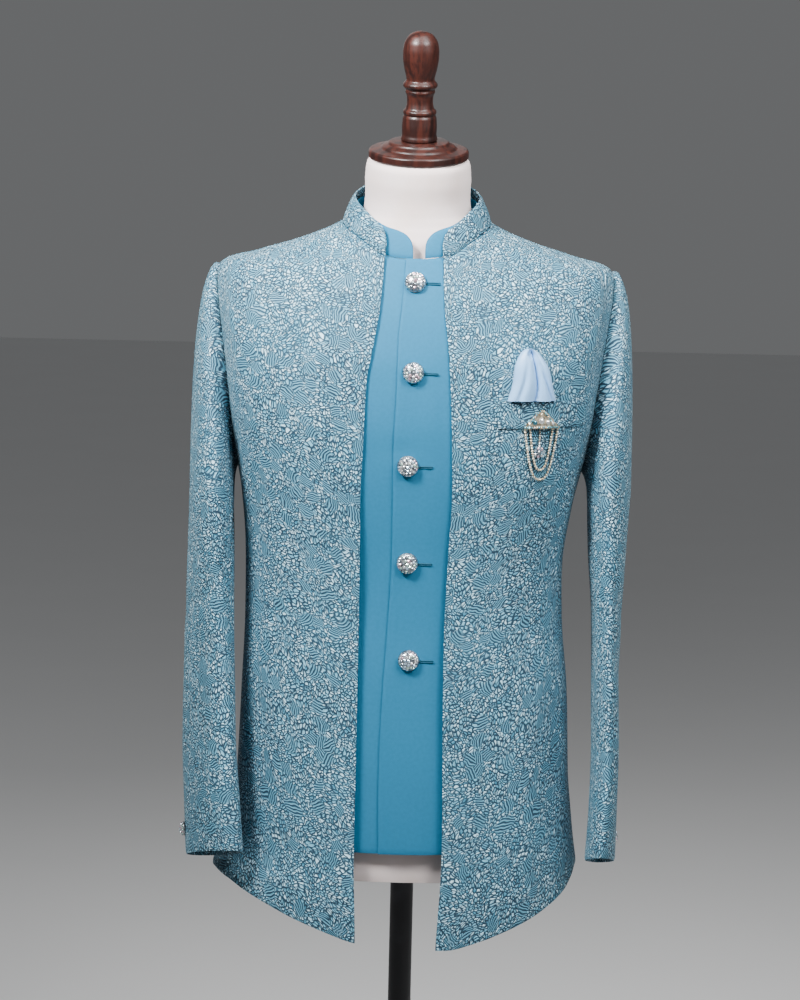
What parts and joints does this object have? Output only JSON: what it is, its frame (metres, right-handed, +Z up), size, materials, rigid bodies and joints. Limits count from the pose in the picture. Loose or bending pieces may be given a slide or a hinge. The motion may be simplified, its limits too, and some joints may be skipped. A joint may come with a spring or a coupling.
{
  "type": "bandhgala jacket on a dress form",
  "caption": "Open-front bandhgala jacket with stand collar over a matching buttoned high-neck waistcoat, worn by a limbless dress form on a pole and round base.",
  "frame": {"origin": "centre of the stand base's underside, on the floor", "axes": "+Z up, the garment's front faces -Y, +X is to the right as seen from the front"},
  "size_m": [0.4796, 0.38, 1.6508],
  "materials": {
    "textured_jacket_cloth": "raised silvery aqua grains on teal ground",
    "teal_suiting": "smooth plain suiting with a soft sheen",
    "pale_blue_silk": "satin",
    "crystal_and_silver": "clear stones in polished silver settings",
    "cream_form_cover": "stretched plain cotton",
    "dark_stained_wood": "dark red brown, gloss varnish",
    "black_stand_metal": "satin black"
  },
  "bodies": {
    "root": {"jacket_front_left": "textured_jacket_cloth", "jacket_front_right": "textured_jacket_cloth", "jacket_back": "textured_jacket_cloth", "jacket_collar": "textured_jacket_cloth", "top_sleeve_left": "textured_jacket_cloth", "top_sleeve_right": "textured_jacket_cloth", "under_sleeve_left": "textured_jacket_cloth", "under_sleeve_right": "textured_jacket_cloth", "chest_welt": "textured_jacket_cloth", "waistcoat_front_left": "teal_suiting", "waistcoat_front_right": "teal_suiting", "waistcoat_back": "teal_suiting", "waistcoat_collar": "teal_suiting", "pocket_square": "pale_blue_silk", "brooch_plate": "crystal_and_silver", "brooch_drop": "crystal_and_silver", "brooch_chain_1": "crystal_and_silver", "brooch_chain_2": "crystal_and_silver", "waistcoat_button_1": "crystal_and_silver", "waistcoat_button_2": "crystal_and_silver", "waistcoat_button_3": "crystal_and_silver", "waistcoat_button_4": "crystal_and_silver", "waistcoat_button_5": "crystal_and_silver", "cuff_button_left": "crystal_and_silver", "cuff_button_right": "crystal_and_silver", "form_torso": "cream_form_cover", "neck_cap": "dark_stained_wood", "finial": "dark_stained_wood", "stand_pole": "black_stand_metal", "stand_base": "black_stand_metal"}
  },
  "joints": []
}
